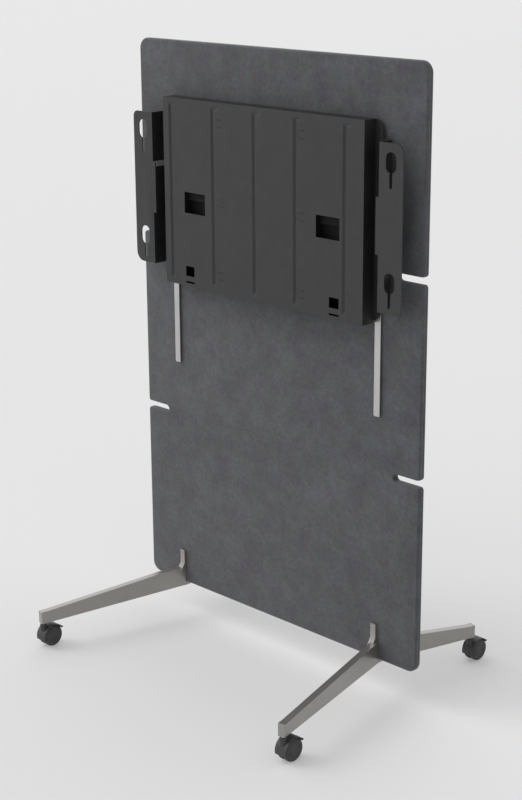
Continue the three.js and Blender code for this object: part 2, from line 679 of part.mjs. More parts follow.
// Clamp screw: its head bears on the strap and its end stops just short of the rail.
function clampScrew(z) {
  const { radius, headRadius, head } = CLAMP_SCREW;
  const seat = BRACKET_STRAP_Y - GAP;
  const end = -RAIL_STANDOFF - RAIL_FACE_THICKNESS - GAP;
  return cut(union([
    barY(headRadius, RAIL_X, z, seat - head, seat, 12),
    barY(radius, RAIL_X, z, seat - 1, end),
  ]), [barY(headRadius / 2, RAIL_X, z, seat - head - 1, seat - head / 2, 6)]);
}

const COVER_BACK = BRACKET_STRAP_Y - GAP;
const BACK_PLATE_FRONT = COVER_BACK - BACK_PLATE.sheet;

function mountBackPlate() {
  const { halfWidth, low, high } = COVER;
  const { margin } = BACK_PLATE;
  const outline = roundedRectangle(
    -halfWidth + margin, halfWidth - margin, low + margin, high - margin, 6,
  );
  return toSolid(slabXZ(outline, BACK_PLATE_FRONT, COVER_BACK, 1));
}

// Tab of a standoff, or the slot for it in the cover when grown by a clearance.
function tab(x, z, y0, y1, grow = 0) {
  const halfWidth = TAB.width / 2 + grow;
  const halfHeight = TAB.height / 2 + grow;
  return box(x - halfWidth, x + halfWidth, y0, y1, z - halfHeight, z + halfHeight);
}

function tabHeights(z) {
  return [z - TAB.pitch / 2, z + TAB.pitch / 2];
}

// Cover: a folded sheet tray, open at the back, with pressed grooves and openings.
function mountCover() {
  const { halfWidth, low, high, front, sheet } = COVER;
  const through = (outline) => toSolid(slabXZ(outline, front - 1, front + sheet + 1, 1));
  const tray = toSolid(slabXZ(
    roundedRectangle(-halfWidth, halfWidth, low, high, 3), front, COVER_BACK, 2,
  ));
  const hollow = box(
    -halfWidth + sheet, halfWidth - sheet, front + sheet, REACH, low + sheet, high - sheet,
  );
  const groove = (x0, x1, z0, z1) => box(x0, x1, front - 1, front + GROOVE.depth, z0, z1);
  const grooves = GROOVE_XS.flatMap((x) => [
    groove(x - GROOVE.width / 2, x + GROOVE.width / 2, GROOVE.low, GROOVE.high),
    groove(x, x + GROOVE.hook, GROOVE.high - GROOVE.hookWidth, GROOVE.high),
  ]);
  const openings = bothSides([
    through(centredRectangle(GRIP.x, GRIP.z, GRIP.width, GRIP.height, 3)),
    through(centredRectangle(OUTLET.x, OUTLET.z, OUTLET.width, OUTLET.height, 3)),
    through(centredRectangle(OUTLET.x, OUTLET.slitZ, OUTLET.width, OUTLET.slit, 1.5)),
  ]);
  const slots = Object.values(STANDOFF_XS).flatMap(
    (x) => Object.values(STANDOFF_HEIGHTS).flatMap(
      (height) => tabHeights(height).map((z) => tab(x, z, front - 1, front + sheet + 1, GAP)),
    ),
  );
  return cut(tray, [hollow, ...grooves, ...openings, ...slots]);
}

// Channel between back plate and cover, with two tabs through slots in the cover.
function coverStandoff(x, z) {
  const { width, height, sheet } = STANDOFF;
  const front = COVER.front + COVER.sheet + GAP;
  const back = BACK_PLATE_FRONT - GAP;
  const z0 = z - height / 2;
  const z1 = z + height / 2;
  const block = box(x - width / 2, x + width / 2, front, back, z0, z1);
  const inside = box(x - width / 2 + sheet, REACH, front + sheet, back - sheet, -REACH, REACH);
  const tabs = tabHeights(z).map((level) => tab(x, level, COVER.front - TAB.proud, front + 1));
  return union([cut(block, [inside]), ...tabs]);
}

// Grip tray behind each large opening: a shallow moulded box with a set-back lip at its top.
function gripTray() {
  const { x, z, height, width, lip, depth, rim } = GRIP;
  const front = COVER.front + COVER.sheet + GAP;
  const sheet = COVER.sheet;
  const top = z + height / 2 + rim;
  const lipLow = z + height / 2 - lip;
  const lipFront = front + GRIP_LIP.setBack;
  const x0 = x - width / 2 - rim;
  const x1 = x + width / 2 + rim;
  const z0 = z - height / 2 - rim;
  const cavity = box(
    x0 + sheet, x1 - sheet, front - 1, front + depth - sheet, z0 + sheet, top - sheet,
  );
  return union([
    cut(box(x0, x1, front, front + depth, z0, top), [cavity]),
    box(x0, x1, lipFront, lipFront + sheet, lipLow, top),
    box(x0, x1, lipFront, lipFront + GRIP_LIP.fold, lipLow, lipLow + sheet),
  ]);
}

function buildMount() {
  const { left, right } = BRACKET_EAR_RADII;
  place('side_bracket_left', mirrored(sideBracket(left)), 'blackSteel', ON_PANEL);
  place('side_bracket_right', sideBracket(right), 'blackSteel', ON_PANEL);
  placePair((side) => `guide_shoe_${side}`, guideShoe(), 'blackPlastic');
  CLAMP_HEIGHTS.forEach((z, index) => {
    const level = ['lower', 'upper'][index];
    placePair((side) => `clamp_screw_${level}_${side}`, clampScrew(z), 'blackSteel');
  });
  place('mount_back_plate', mountBackPlate(), 'blackSteel', ON_PANEL);
  place('mount_cover', mountCover(), 'blackSteel', ON_PANEL);
  for (const [side, x] of Object.entries(STANDOFF_XS)) {
    for (const [level, z] of Object.entries(STANDOFF_HEIGHTS)) {
      place(`cover_standoff_${level}_${side}`, coverStandoff(x, z), 'blackSteel', ON_PANEL);
    }
  }
  placePair((side) => `grip_tray_${side}`, gripTray(), 'blackPlastic');
}

buildPanel();
buildRails();
buildFeet();
buildCastors();
buildMount();

export default wall;
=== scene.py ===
"""Looks of a mobile felt partition wall with a display mount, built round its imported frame.

Lengths are in metres, +Z is up and the mount side faces -Y.
"""

import json
import math

import bmesh
import bpy
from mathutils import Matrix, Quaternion, Vector

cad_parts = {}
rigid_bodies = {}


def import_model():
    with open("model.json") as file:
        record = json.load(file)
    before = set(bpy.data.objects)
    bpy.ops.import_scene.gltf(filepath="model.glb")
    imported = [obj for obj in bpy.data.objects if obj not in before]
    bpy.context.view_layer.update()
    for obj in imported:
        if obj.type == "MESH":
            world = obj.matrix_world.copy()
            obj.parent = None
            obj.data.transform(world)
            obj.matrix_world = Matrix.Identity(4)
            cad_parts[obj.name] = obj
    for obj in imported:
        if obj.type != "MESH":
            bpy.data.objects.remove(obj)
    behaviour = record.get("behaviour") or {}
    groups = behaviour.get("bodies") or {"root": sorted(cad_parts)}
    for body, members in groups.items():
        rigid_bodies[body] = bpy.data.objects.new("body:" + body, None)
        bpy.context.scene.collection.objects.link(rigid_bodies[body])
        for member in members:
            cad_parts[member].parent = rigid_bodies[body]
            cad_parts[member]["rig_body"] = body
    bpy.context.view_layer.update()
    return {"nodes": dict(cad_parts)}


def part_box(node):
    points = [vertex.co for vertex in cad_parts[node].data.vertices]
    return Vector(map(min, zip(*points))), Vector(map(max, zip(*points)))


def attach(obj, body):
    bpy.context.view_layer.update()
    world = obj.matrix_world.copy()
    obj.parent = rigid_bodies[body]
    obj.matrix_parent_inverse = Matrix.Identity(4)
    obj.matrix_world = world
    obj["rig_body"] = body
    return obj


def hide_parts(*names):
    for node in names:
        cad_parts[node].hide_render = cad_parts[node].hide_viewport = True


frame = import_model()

SIDES = {"left": -1, "right": 1}
CASTORS = [f"castor_{end}_{side}" for end in ("front", "rear") for side in SIDES]

# ---------------------------------------------------------------- sizes of the refined pieces

PANEL_CORNER = 0.030                  # radius of the panel's corners
PANEL_EDGE = 0.007                    # rounding of the felt round the panel's rim
SEAM_ROUND = 0.0012                   # rounding of each shell where the two shells meet
FELT_RIM = 0.010                      # width of the felt left round the core board
FELT_THICKNESS = 0.008
NOTCH_HEIGHTS = (0.532, 1.064)        # above the panel's lower edge
NOTCH_DEPTH = 0.090
NOTCH_HALF_HEIGHT = 0.00975
NOTCH_FLARE = 0.009
NOTCH_ROUND = 0.0015                  # rounding of the felt along a notch
ARC_STEPS = {"corner": 10, "flare": 7, "notch": 16, "rim": 6, "seam": 3}

# Cover of the display mount. Heights are above the panel's lower edge.
COVER_SHEET = 0.0015
GROOVE_XS = (-0.343, -0.176, -0.019, 0.131, 0.303)
GROOVE_WALL, GROOVE_SLOPE = 0.0055, 0.0100   # steep left side and gentle right side
GROOVE_DEPTH = 0.0032
GROOVE_LOW, GROOVE_HIGH = 0.948, 1.441
GROOVE_END = 0.012                    # length over which a groove fades out
GROOVE_STEPS = 6                      # divisions across each side of a groove
HOOK_LENGTH = 0.028                   # short groove to the right of each groove's top
HOOK_WALL, HOOK_SLOPE = 0.0028, 0.0110       # steep upper side and gentle lower side
HOOK_DEPTH = 0.0014
TAB_XS = (-0.149, 0.153)              # standoffs' tabs in slots of the cover
TAB_HEIGHTS = (0.983, 1.186, 1.398)
TAB_PITCH = 0.020
TAB_WIDTH, TAB_HEIGHT = 0.0246, 0.0026
COVER_OPENINGS = (                    # centre, then width and height; each is on both sides
    (0.248, 1.171, 0.082, 0.058),
    (0.271, 0.9785, 0.034, 0.028),
    (0.271, 0.9472, 0.034, 0.0054),
)

# Castors.
WHEEL_RADIUS = 0.031
WHEEL_WIDTH = 0.014
WHEEL_INNER_X = 0.0054
WHEEL_HEM = ((0.0, 0.0016), (0.0004, 0.0006), (0.0014, 0.0))    # width, depth below the tread
SHOULDER_RADIUS, SHOULDER_WIDTH = 0.0115, 0.0068
CAP_RING = (                          # depth below the wheel's face, distance inside the shoulder
    (0.0002, 0.0008), (0.0009, 0.0011), (0.0009, 0.0018),
    (0.0002, 0.0021), (0.0002, 0.0040), (0.0008, 0.0080),
)
CAP_DISH = ((0.0012, 0.006), (0.0013, 0.0))      # depth below the wheel's face, radius
TRAIL = 0.024                         # from the stem back to the axle
HOOD_INNER, HOOD_OUTER = 0.0322, 0.0350
HOOD_HALF_WIDTH = WHEEL_INNER_X + WHEEL_WIDTH
HOOD_REAR, HOOD_FRONT = 46, 196       # degrees round the axle, from the rear
HOOD_CORNER = 0.0014                  # rounding along the hood's long edges
HOOD_END = 0.0009                     # rounding of the hood's two ends
HOOD_END_INNER = 0.0003
WEB_HALF_WIDTH = 0.0049
WEB_LOBE = 0.015
WEB_WAIST = 34                        # degrees between the hood's ends and the lobe
NECK_RADIUS = 0.009
NECK_FOOT = 0.68                      # height of the neck's foot, as a share of the hood's radius
NECK_PROFILE = ((0.0055, 0.0003), (0.0042, 0.0), (0.0036, -0.0006))   # below the arm, extra radius
STEM_RADIUS = 0.0038
STEM_LOW = 0.047                      # height of the stem's lower end
STEM_IN_ARM = 0.024
COLLAR_RADIUS, COLLAR_HEIGHT = 0.0065, 0.0026
COLLAR_EDGE = 0.0003

# Roundings of edges, and limits used when CAD faces are joined up again.
SHEET_EDGE = 0.0007
ARM_EDGE = 0.0008
RAIL_EDGE = 0.0005
BRAKE_EDGE = 0.0006
FINE_EDGE = 0.0003
STANDOFF_EDGE = 0.0002
SAME_PLACE = 1e-6
FLAT_ANGLE = 0.6                      # degrees


# ---------------------------------------------------------------- mesh helpers


def new_object(name, mesh):
    piece = bpy.data.objects.new(name, mesh)
    bpy.context.scene.collection.objects.link(piece)
    return piece


def mesh_from(name, vertices, faces):
    mesh = bpy.data.meshes.new(name)
    mesh.from_pydata(vertices, [], faces)
    mesh.update()
    return mesh


def oval_arc(centre, radii, start, end, count):
    """Points of an upright oval's arc, angles in degrees, both ends included."""
    points = []
    for i in range(count + 1):
        angle = math.radians(start + (end - start) * i / count)
        points.append((
            centre[0] + radii[0] * math.cos(angle), centre[1] + radii[1] * math.sin(angle),
        ))
    return points


def arc(centre, radius, start, end, count):
    return oval_arc(centre, (radius, radius), start, end, count)


def smooth_by_angle(mesh, angle=35):
    """Smooth shading that keeps edges sharper than the angle."""
    made = bmesh.new()
    made.from_mesh(mesh)
    limit = math.radians(angle)
    for edge in made.edges:
        edge.smooth = len(edge.link_faces) == 2 and edge.calc_face_angle(0) < limit
    for face in made.faces:
        face.smooth = True
    made.to_mesh(mesh)
    made.free()


def bevel(piece, width, segments=2, angle=30):
    """Rounded edges, with flat faces kept flat."""
    modifier = piece.modifiers.new("edge_rounding", "BEVEL")
    modifier.width = width
    modifier.segments = segments
    modifier.limit_method = "ANGLE"
    modifier.angle_limit = math.radians(angle)
    modifier.harden_normals = True
    modifier.miter_outer = "MITER_ARC"
    return modifier


def dress(piece, material, body, slot, *nodes):
    """Gives a piece its material and its body, and hides the CAD nodes it stands for. The slot is
    not used.
    """
    piece.data.materials.clear()
    piece.data.materials.append(material)
    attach(piece, body)
    if nodes:
        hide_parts(*nodes)
    return piece


def body_of(node):
    return frame["nodes"][node]["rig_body"]


def refined(node, material, slot, width, segments=2):
    """A copy of a CAD node with its flat faces whole again and its edges rounded."""
    made = bmesh.new()
    made.from_mesh(frame["nodes"][node].data)
    bmesh.ops.remove_doubles(made, verts=made.verts, dist=SAME_PLACE)
    bmesh.ops.dissolve_limit(
        made, angle_limit=math.radians(FLAT_ANGLE), verts=made.verts, edges=made.edges,
    )
    mesh = bpy.data.meshes.new(node + "_refined")
    made.to_mesh(mesh)
    made.free()
    smooth_by_angle(mesh, 30)
    piece = new_object(node + "_refined", mesh)
    bevel(piece, width, segments)
    return dress(piece, material, body_of(node), slot, node)


def paint(node, material):
    """A material for a CAD node that stays as it is."""
    mesh = frame["nodes"][node].data
    mesh.materials.clear()
    mesh.materials.append(material)


class Solid:
    """Vertices and faces gathered into one mesh."""

    def __init__(self):
        self.vertices = []
        self.faces = []

    def rings(self, rings, caps=True):
        """Skins a row of closed rings that all have as many points."""
        start = len(self.vertices)
        count = len(rings[0])
        for ring in rings:
            self.vertices += ring
        for k in range(len(rings) - 1):
            near, far = start + k * count, start + (k + 1) * count
            for i in range(count):
                j = (i + 1) % count
                self.faces.append((near + i, near + j, far + j, far + i))
        if caps:
            last = start + (len(rings) - 1) * count
            self.faces.append(tuple(range(start, start + count)))
            self.faces.append(tuple(range(last, last + count)))
        return self

    def turned(self, profile, centre, axis, segments=72):
        """Turns (along, radius) pairs round the x, y or z axis through centre."""
        rings = []
        for along, radius in profile:
            ring = []
            for i in range(segments):
                angle = 2 * math.pi * i / segments
                u, v = radius * math.cos(angle), radius * math.sin(angle)
                offset = {"x": (along, u, v), "y": (u, along, v), "z": (u, v, along)}[axis]
                ring.append(tuple(Vector(centre) + Vector(offset)))
            rings.append(ring)
        return self.rings(rings, caps=False)

    def build(self, name, angle=35):
        mesh = mesh_from(name, self.vertices, self.faces)
        made = bmesh.new()
        made.from_mesh(mesh)
        bmesh.ops.remove_doubles(made, verts=made.verts, dist=1e-7)
        bmesh.ops.recalc_face_normals(made, faces=made.faces)
        made.to_mesh(mesh)
        made.free()
        smooth_by_angle(mesh, angle)
        return new_object(name, mesh)


# ---------------------------------------------------------------- materials


class Nodes:
    """Short calls for building one procedural material."""

    def __init__(self, name, color, roughness, metallic=0.0):
        self.material = bpy.data.materials.new(name)
        self.material.use_nodes = True
        self.tree = self.material.node_tree
        self.shader = self.tree.nodes["Principled BSDF"]
        self.set("Base Color", (*color, 1.0))
        self.set("Roughness", roughness)
        self.set("Metallic", metallic)
        self.place = self.add("ShaderNodeTexCoord").outputs["Object"]

    def set(self, socket, value):
        self.shader.inputs[socket].default_value = value

    def add(self, kind, **settings):
        node = self.tree.nodes.new(kind)
        for key, value in settings.items():
            setattr(node, key, value)
        return node

    def link(self, output, target):
        self.tree.links.new(output, target)

    def scaled(self, scale):
        mapping = self.add("ShaderNodeMapping")
        mapping.inputs["Scale"].default_value = scale
        self.link(self.place, mapping.inputs["Vector"])
        return mapping.outputs["Vector"]

    def noise(self, scale, detail=4.0, rough=0.55, stretch=(1, 1, 1)):
        node = self.add("ShaderNodeTexNoise")
        node.inputs["Scale"].default_value = scale
        node.inputs["Detail"].default_value = detail
        node.inputs["Roughness"].default_value = rough
        self.link(self.scaled(stretch), node.inputs["Vector"])
        return node.outputs["Fac"]

    def ramp(self, value, stops):
        node = self.add("ShaderNodeValToRGB")
        elements = node.color_ramp.elements
        while len(elements) < len(stops):
            elements.new(0.5)
        for element, (position, color) in zip(elements, stops):
            element.position = position
            element.color = (*color, 1.0)
        self.link(value, node.inputs["Fac"])
        return node.outputs["Color"]

    def spread(self, value, low, high, start=0.3, end=0.7):
        node = self.add("ShaderNodeMapRange")
        node.inputs["From Min"].default_value = start
        node.inputs["From Max"].default_value = end
        node.inputs["To Min"].default_value = low
        node.inputs["To Max"].default_value = high
        self.link(value, node.inputs["Value"])
        return node.outputs["Result"]

    def mix(self, first, second, amount, blend="MULTIPLY"):
        node = self.add("ShaderNodeMix", data_type="RGBA", blend_type=blend)
        node.inputs["Factor"].default_value = amount
        self.link(first, node.inputs[6])
        self.link(second, node.inputs[7])
        return node.outputs[2]

    def bump(self, height, strength, distance, previous=None):
        node = self.add("ShaderNodeBump")
        node.inputs["Strength"].default_value = strength
        node.inputs["Distance"].default_value = distance
        self.link(height, node.inputs["Height"])
        if previous:
            self.link(previous, node.inputs["Normal"])
        return node.outputs["Normal"]

    def finish(self, color=None, roughness=None, normal=None):
        for output, socket in ((color, "Base Color"), (roughness, "Roughness"), (normal, "Normal")):
            if output:
                self.link(output, self.shader.inputs[socket])
        return self.material


def gray(value, warmth=0.0):
    return (value * (1 + warmth), value, value * (1 - warmth))


def felt_material():
    """Pressed grey felt: mottled patches of slightly different tints, flecks and a soft sheen."""
    made = Nodes("pressed_felt", (0.10, 0.105, 0.115), 0.95)
    clouds = made.noise(5.0, 5.0, 0.6)
    base = made.ramp(clouds, [
        (0.30, (0.071, 0.074, 0.080)), (0.50, (0.076, 0.079, 0.085)), (0.70, (0.081, 0.084, 0.090)),
    ])
    patches = made.ramp(made.noise(17.0, 5.0, 0.66), [
        (0.32, (0.84, 0.81, 0.83)), (0.50, (1.00, 1.00, 1.00)), (0.68, (1.15, 1.18, 1.18)),
    ])
    base = made.mix(base, patches, 1.0)
    tints = made.ramp(made.noise(34.0, 3.0, 0.55), [
        (0.32, (1.07, 0.97, 1.05)), (0.50, (1.01, 1.00, 1.02)), (0.68, (0.97, 1.02, 0.99)),
    ])
    base = made.mix(base, tints, 1.0)
    blotches = made.ramp(made.noise(75.0, 4.0, 0.6), [(0.34, gray(0.89)), (0.66, gray(1.11))])
    flecks = made.ramp(made.noise(420.0, 3.0, 0.7), [(0.30, gray(0.74)), (0.72, gray(1.26))])
    color = made.mix(made.mix(base, blotches, 1.0), flecks, 1.0)
    fibres = made.noise(900.0, 4.0, 0.7)
    dents = made.noise(120.0, 4.0, 0.6)
    normal = made.bump(fibres, 0.55, 0.0006, made.bump(dents, 0.4, 0.0012))
    made.set("Sheen Weight", 0.35)
    made.set("Sheen Roughness", 0.5)
    made.set("Specular IOR Level", 0.2)
    return made.finish(color, made.spread(fibres, 0.88, 1.0), normal)


def powder_coat_material():
    """Black powder coat: a very dark ground, a fine orange-peel texture and a broad soft gloss."""
    made = Nodes("black_powder_coat", gray(0.012), 0.48)
    tone = made.ramp(made.noise(30.0, 5.0, 0.6), [(0.35, gray(0.0085)), (0.65, gray(0.0125))])
    peel = made.noise(900.0, 3.0, 0.55)
    made.set("Specular IOR Level", 0.62)
    roughness = made.spread(made.noise(14.0, 5.0, 0.6), 0.44, 0.53)
    return made.finish(tone, roughness, made.bump(peel, 0.28, 0.0004))


def brushed_material(name, value, warmth, roughness, stretch, metallic=1.0, lacquer=0.0):
    """Satin metal with a fine grain along the piece, under a clear lacquer if wanted."""
    made = Nodes(name, gray(value, warmth), roughness, metallic)
    made.set("Coat Weight", lacquer)
    made.set("Coat Roughness", 0.30)
    made.set("Coat IOR", 1.95)
    grain = made.noise(520.0, 3.0, 0.6, stretch)
    patches = made.noise(16.0, 4.0, 0.55)
    tint = made.ramp(grain, [(0.3, gray(value * 0.9, warmth)), (0.7, gray(value * 1.06, warmth))])
    shade = made.ramp(patches, [(0.3, gray(0.95)), (0.7, gray(1.03))])
    rough = made.spread(grain, roughness * 0.85, roughness * 1.2)
    return made.finish(made.mix(tint, shade, 1.0), rough, made.bump(grain, 0.12, 0.0003))


def moulded_material(name, value, roughness, gloss=0.5):
    """Black moulded plastic with a faint spark-eroded texture."""
    made = Nodes(name, gray(value), roughness)
    made.set("Specular IOR Level", gloss)
    tone = made.ramp(made.noise(45.0, 4.0), [(0.3, gray(value * 0.85)), (0.7, gray(value * 1.15))])
    texture = made.noise(1400.0, 3.0, 0.6)
    rough = made.spread(made.noise(60.0, 4.0), roughness * 0.88, roughness * 1.12)
    return made.finish(tone, rough, made.bump(texture, 0.3, 0.0003))


def board_material():
    """Plain fibre board, seen only where the felt is cut away."""
    made = Nodes("fibre_board", (0.4, 0.3, 0.18), 0.85)
    tone = made.ramp(made.noise(300.0, 5.0), [(0.3, (0.30, 0.22, 0.13)), (0.7, (0.46, 0.35, 0.22))])
    return made.finish(tone, None, made.bump(made.noise(700.0), 0.3, 0.0004))


FELT = felt_material()
BOARD = board_material()
BLACK = powder_coat_material()
RAIL = brushed_material("rail_aluminium", 0.54, 0.015, 0.34, (1, 1, 0.03))
FOOT = brushed_material("foot_metal", 0.255, 0.065, 0.34, (1, 0.05, 1), 0.6, 0.75)
ZINC = brushed_material("zinc_plate", 0.58, 0.0, 0.32, (1, 1, 1))
HOOD = moulded_material("castor_plastic", 0.036, 0.5)
TREAD = moulded_material("castor_tread", 0.042, 0.62)
TRAY = moulded_material("black_plastic", 0.006, 0.75, 0.2)


# ---------------------------------------------------------------- panel


def panel_outline(low, high, inset):
    """Outline of the panel in X and Z with its notches, moved inwards; always as many points."""
    (_, z0), (x1, z1) = low, high
    corner = PANEL_CORNER
    steps = ARC_STEPS
    notch_inset = min(inset, NOTCH_ROUND)
    flare = (max(NOTCH_FLARE - inset, 0.0002), NOTCH_FLARE - notch_inset)
    half = NOTCH_HALF_HEIGHT
    end_x = x1 - NOTCH_DEPTH + half
    flare_x = x1 - NOTCH_FLARE
    right = arc((x1 - corner, z0 + corner), corner - inset, -90, 0, steps["corner"])
    for z in (z0 + height for height in NOTCH_HEIGHTS):
        right += oval_arc((flare_x, z - half - NOTCH_FLARE), flare, 0, 90, steps["flare"])
        right += arc((end_x, z), half + notch_inset, 270, 90, steps["notch"])
        right += oval_arc((flare_x, z + half + NOTCH_FLARE), flare, 270, 360, steps["flare"])
    right += arc((x1 - corner, z1 - corner), corner - inset, 0, 90, steps["corner"])
    left = [(-x, z) for x, z in reversed(right)]
    return right + left


def felt_shell(node, outer_y, seam_y):
    """Tray-shaped felt shell: rounded outer rim, straight side, small rounding at the seam."""
    low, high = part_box(node)
    frame_low, frame_high = (low.x, low.z), (high.x, high.z)
    inward = 1 if seam_y > outer_y else -1
    rings = []
    for i in range(ARC_STEPS["rim"] + 1):
        angle = math.pi / 2 * i / ARC_STEPS["rim"]
        inset = PANEL_EDGE * (1 - math.sin(angle))
        rings.append((outer_y + inward * PANEL_EDGE * (1 - math.cos(angle)), inset))
    for i in range(ARC_STEPS["seam"] + 1):
        angle = math.pi / 2 * i / ARC_STEPS["seam"]
        drop = SEAM_ROUND * (1 - math.cos(angle))
        rings.append((seam_y - inward * SEAM_ROUND * (1 - math.sin(angle)), drop))
    rings.append((seam_y, FELT_RIM))
    rings.append((outer_y + inward * FELT_THICKNESS, FELT_RIM))
    vertices = []
    for y, inset in rings:
        vertices += [(x, y, z) for x, z in panel_outline(frame_low, frame_high, inset)]
    count = len(vertices) // len(rings)
    faces = []
    for ring in range(len(rings) - 1):
        for i in range(count):
            j = (i + 1) % count
            a, b = ring * count, (ring + 1) * count
            faces.append((a + i, a + j, b + j, b + i))
    faces.append(tuple(range(count)))
    faces.append(tuple(range((len(rings) - 1) * count, len(rings) * count)))
    mesh = mesh_from(node + "_felt", vertices, faces)
    made = bmesh.new()
    made.from_mesh(mesh)
    caps = [face for face in made.faces if len(face.verts) > 4]
    bmesh.ops.triangulate(made, faces=caps, ngon_method="EAR_CLIP")
    bmesh.ops.recalc_face_normals(made, faces=made.faces)
    made.to_mesh(mesh)
    made.free()
    smooth_by_angle(mesh, 40)
    return dress(new_object(node + "_felt", mesh), FELT, body_of(node), "felt", node)


def build_panel():
    front_low, front_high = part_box("front_felt_shell")
    rear_low, rear_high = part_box("rear_felt_shell")
    felt_shell("front_felt_shell", front_low.y, front_high.y)
    felt_shell("rear_felt_shell", rear_high.y, rear_low.y)
    paint("core_board", BOARD)


# ---------------------------------------------------------------- metalwork


def pressed(offset, wall, slope, along):
    """Share of a groove's depth at an offset from its lowest line, fading out over its ends."""
    across = abs(offset) / (wall if offset < 0 else slope)
    if along <= 0 or across >= 1:
        return 0.0
    return min(along / GROOVE_END, 1.0) * (1 + math.cos(math.pi * across)) / 2


def groove_depth(x, height):
    """How far the cover's front is pressed in at a place."""
    along = min(height - GROOVE_LOW, GROOVE_HIGH - height)
    below_top = GROOVE_HIGH - HOOK_WALL - height
    depths = []
    for groove in GROOVE_XS:
        depths.append(GROOVE_DEPTH * pressed(x - groove, GROOVE_WALL, GROOVE_SLOPE, along))
        reach = min(x - groove, groove + HOOK_LENGTH - x)
        depths.append(HOOK_DEPTH * pressed(below_top, HOOK_WALL, HOOK_SLOPE, reach))
    return max(depths)


def cover_holes():
    """Openings and slots in the cover's front as (x, height, width, tall)."""
    holes = [(side * x, *rest) for x, *rest in COVER_OPENINGS for side in SIDES.values()]
    for x in TAB_XS:
        for height in TAB_HEIGHTS:
            for step in (-0.5, 0.5):
                holes.append((x, height + step * TAB_PITCH, TAB_WIDTH, TAB_HEIGHT))
    return holes


def cover_lines(low, high):
    """Places in x and heights at which the cover's front is divided."""
    xs = {low.x, high.x}
    steps = GROOVE_STEPS
    for groove in GROOVE_XS:
        xs.update(groove - GROOVE_WALL * i / steps for i in range(1, steps + 1))
        xs.update(groove + GROOVE_SLOPE * i / steps for i in range(steps + 1))
        xs.update(groove + HOOK_LENGTH - GROOVE_END * i / 3 for i in range(4))
    base = panel_bottom()
    heights = {low.z - base, high.z - base}
    for i in range(5):
        heights.add(GROOVE_LOW + GROOVE_END * i / 4)
    for i in range(steps + 1):
        heights.add(GROOVE_HIGH - HOOK_WALL * i / steps)
        heights.add(GROOVE_HIGH - HOOK_WALL - HOOK_SLOPE * i / steps)
    for x, height, width, tall in cover_holes():
        xs.update((x - width / 2, x + width / 2))
        heights.update((height - tall / 2, height + tall / 2))
    return spaced(xs), spaced(heights)


def spaced(values, least=0.00012):
    """Values in order without ones that nearly coincide."""
    kept = []
    for value in sorted(values):
        if not kept or value - kept[-1] > least:
            kept.append(value)
    return kept


def in_opening(x, height):
    return any(
        abs(x - place) < width / 2 and abs(height - level) < tall / 2
        for place, level, width, tall in cover_holes()
    )


def panel_bottom():
    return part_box("front_felt_shell")[0].z


def build_cover():
    """Folded sheet tray with pressed grooves and openings, drawn as one skin and thickened."""
    low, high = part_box("mount_cover")
    xs, heights = cover_lines(low, high)
    base = panel_bottom()
    vertices = []
    for height in heights:
        for x in xs:
            vertices.append((x, low.y + groove_depth(x, height), base + height))
    columns, rows = len(xs), len(heights)
    faces = []
    for row in range(rows - 1):
        for column in range(columns - 1):
            middle_x = (xs[column] + xs[column + 1]) / 2
            middle_height = (heights[row] + heights[row + 1]) / 2
            if not in_opening(middle_x, middle_height):
                first = row * columns + column
                faces.append((first, first + 1, first + columns + 1, first + columns))
    bottom = list(range(columns))
    right = [row * columns + columns - 1 for row in range(1, rows)]
    top = [(rows - 1) * columns + column for column in range(columns - 2, -1, -1)]
    left = [row * columns for row in range(rows - 2, 0, -1)]
    rim = bottom + right + top + left
    start = len(vertices)
    for index in rim:
        x, _, z = vertices[index]
        vertices.append((x, high.y, z))
    for i, index in enumerate(rim):
        j = (i + 1) % len(rim)
        faces.append((index, start + i, start + j, rim[j]))
    piece = new_object("mount_cover_pressed", mesh_from("mount_cover_pressed", vertices, faces))
    thickness = piece.modifiers.new("sheet", "SOLIDIFY")
    thickness.thickness = COVER_SHEET
    thickness.offset = -1
    thickness.use_even_offset = True
    rounding = piece.modifiers.new("edge_rounding", "BEVEL")
    rounding.width = SHEET_EDGE
    rounding.segments = 3
    rounding.limit_method = "ANGLE"
    rounding.angle_limit = math.radians(60)
    dress(piece, BLACK, body_of("mount_cover"), "black_sheet", "mount_cover")


def build_metalwork():
    for side in SIDES:
        refined(f"mount_rail_{side}", RAIL, "rail_metal", RAIL_EDGE)
        refined(f"foot_{side}_front_arm", FOOT, "foot_metal", ARM_EDGE, 3)
        refined(f"foot_{side}_rear_arm", FOOT, "foot_metal", ARM_EDGE, 3)
        refined(f"side_bracket_{side}", BLACK, "black_sheet", SHEET_EDGE, 3)
        refined(f"grip_tray_{side}", TRAY, "black_plastic", FINE_EDGE)
        refined(f"guide_shoe_{side}", TRAY, "black_plastic", FINE_EDGE)
    build_cover()
    refined("mount_back_plate", BLACK, "black_sheet", FINE_EDGE)


def build_fasteners():
    for node in list(frame["nodes"]):
        if node.startswith("clamp_screw"):
            refined(node, BLACK, "black_sheet", FINE_EDGE)
        elif "_screw_" in node:
            refined(node, ZINC, "zinc_fasteners", FINE_EDGE)
        elif "standoff" in node:
            refined(node, BLACK, "black_sheet", STANDOFF_EDGE)


# ---------------------------------------------------------------- castors


def around(axle, radius, degrees, x=0.0):
    """A place round an axle, in the plane of its wheels."""
    angle = math.radians(degrees)
    return (axle.x + x, axle.y + radius * math.cos(angle), axle.z + radius * math.sin(angle))


